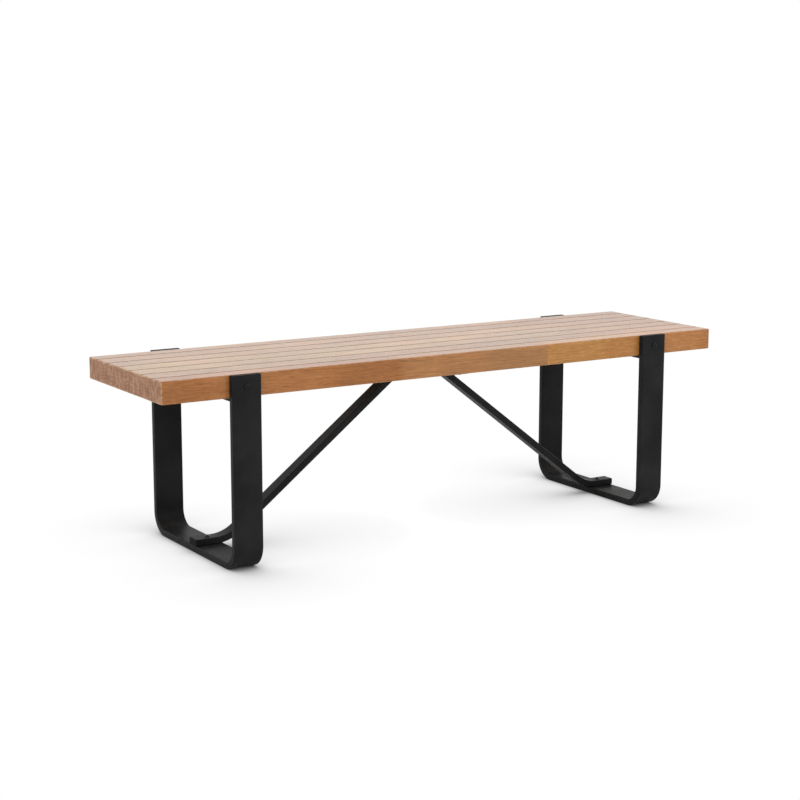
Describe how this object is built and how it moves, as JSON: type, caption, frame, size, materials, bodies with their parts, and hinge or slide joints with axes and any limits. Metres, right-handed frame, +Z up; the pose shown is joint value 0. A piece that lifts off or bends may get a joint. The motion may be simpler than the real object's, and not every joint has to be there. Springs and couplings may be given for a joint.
{
  "type": "entryway bench",
  "caption": "Long slab bench of glued wooden boards on two bent flat-tube U legs, with diagonal tube braces from each leg's foot to the middle of the seat.",
  "frame": {"origin": "centre of the footprint on the floor", "axes": "+X along the bench's length to the right as seen from the front, +Y to the back, +Z up; the front faces -Y"},
  "size_m": [1.522, 0.4394, 0.44],
  "materials": {
    "seat_wood": "satin lacquer",
    "seat_wood_light": "satin lacquer",
    "black_coat": "fine-textured black powder coat on steel",
    "cap_plastic": "matt black",
    "black_bolt": "black oxide, satin",
    "zinc": "zinc plated"
  },
  "bodies": {
    "root": {"front_board_left": "seat_wood", "front_board_right": "seat_wood_light", "board_2": "seat_wood", "board_3": "seat_wood", "board_4": "seat_wood", "board_5": "seat_wood", "board_6": "seat_wood", "back_board": "seat_wood", "left_leg": "black_coat", "right_leg": "black_coat", "left_front_cap": "cap_plastic", "left_back_cap": "cap_plastic", "right_front_cap": "cap_plastic", "right_back_cap": "cap_plastic", "left_crossbar": "black_coat", "right_crossbar": "black_coat", "centre_plate": "black_coat", "left_brace": "black_coat", "right_brace": "black_coat", "left_brace_cap": "cap_plastic", "right_brace_cap": "cap_plastic", "left_leg_bolts": "black_bolt", "right_leg_bolts": "black_bolt", "left_leg_inserts": "zinc", "right_leg_inserts": "zinc", "left_foot_bolt": "black_bolt", "right_foot_bolt": "black_bolt", "left_rivet_nut": "zinc", "right_rivet_nut": "zinc", "brace_top_bolts": "black_bolt", "brace_top_inserts": "zinc", "left_crossbar_screws": "zinc", "right_crossbar_screws": "zinc", "centre_plate_screws": "zinc"}
  },
  "joints": []
}
